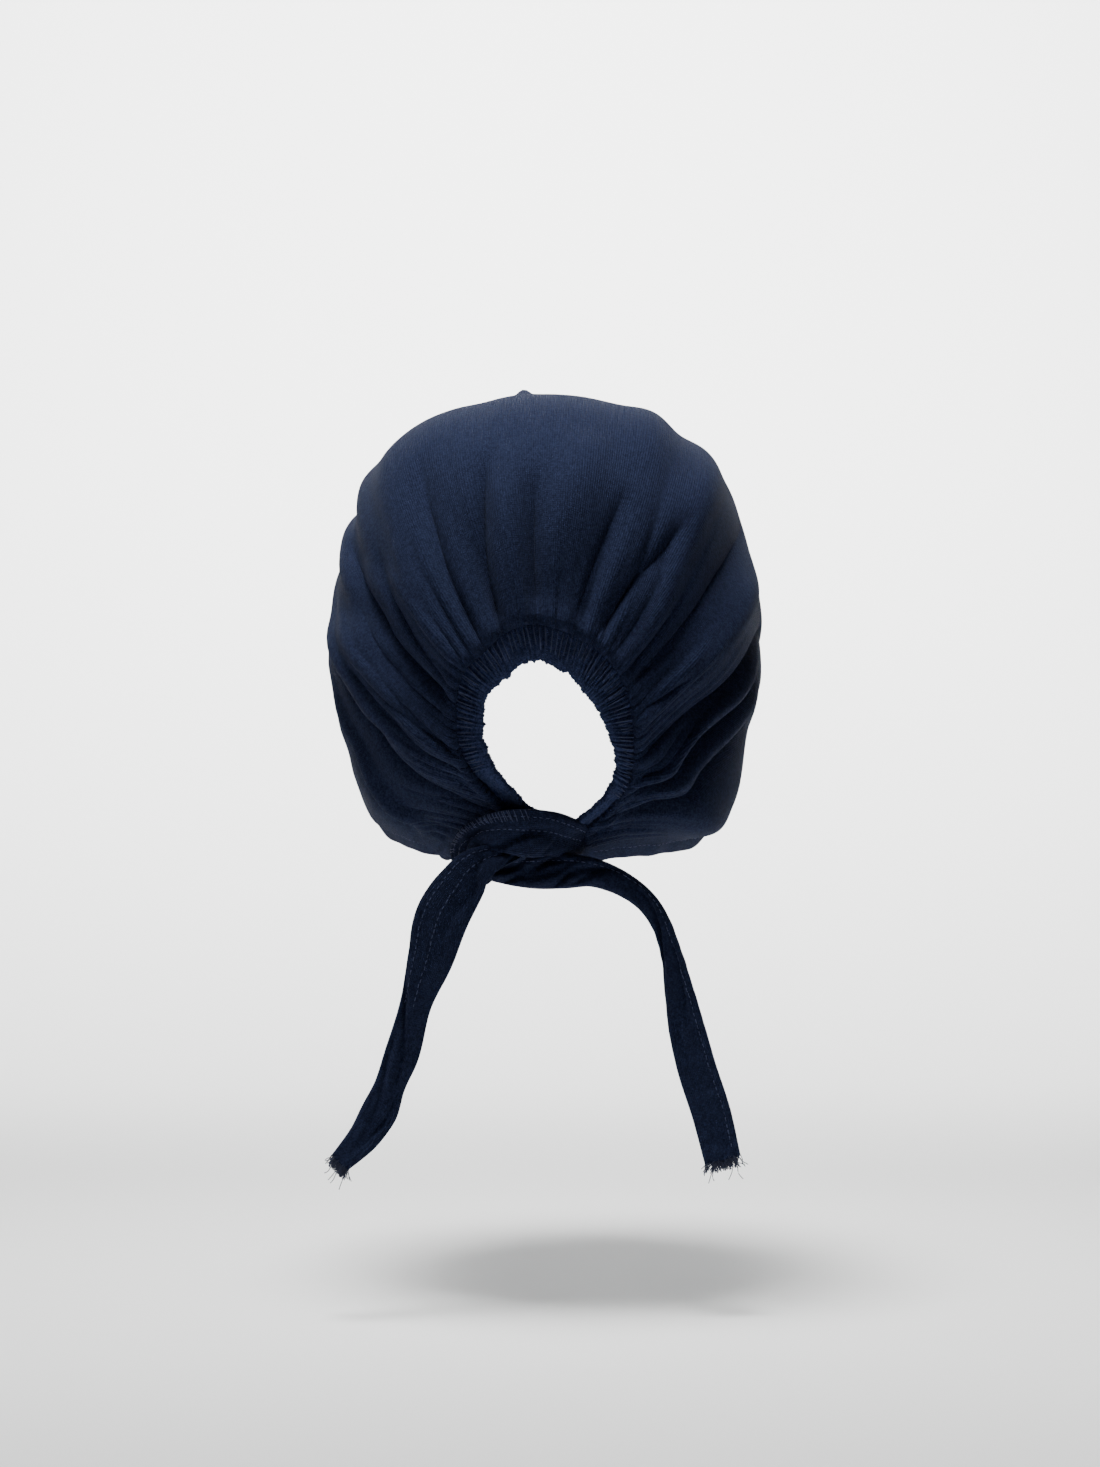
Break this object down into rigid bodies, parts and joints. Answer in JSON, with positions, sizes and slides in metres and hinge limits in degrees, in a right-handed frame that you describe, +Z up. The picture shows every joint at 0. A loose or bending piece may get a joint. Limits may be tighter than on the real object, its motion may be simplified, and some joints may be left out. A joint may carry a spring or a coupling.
{
  "type": "tie-back bonnet",
  "caption": "Stretch jersey head covering gathered round an elasticated nape opening and tied behind with a half knot, in its worn shape.",
  "frame": {"origin": "underside of the top of the crown, where the wearer's head bears on the cloth", "axes": "+Z up, the wearer faces -Y, and the wearer's left is +X, so the knot is at +Y"},
  "size_m": [0.1674, 0.1919, 0.285],
  "materials": {
    "jersey": "matte stretch jersey",
    "gathered_jersey": "matte gathered jersey",
    "hem_jersey": "matte folded jersey",
    "tie_jersey": "matte folded jersey"
  },
  "bodies": {
    "root": {"crown": "jersey", "elastic_casing": "gathered_jersey", "hem": "hem_jersey", "left_tie": "tie_jersey", "right_tie": "tie_jersey"}
  },
  "joints": []
}
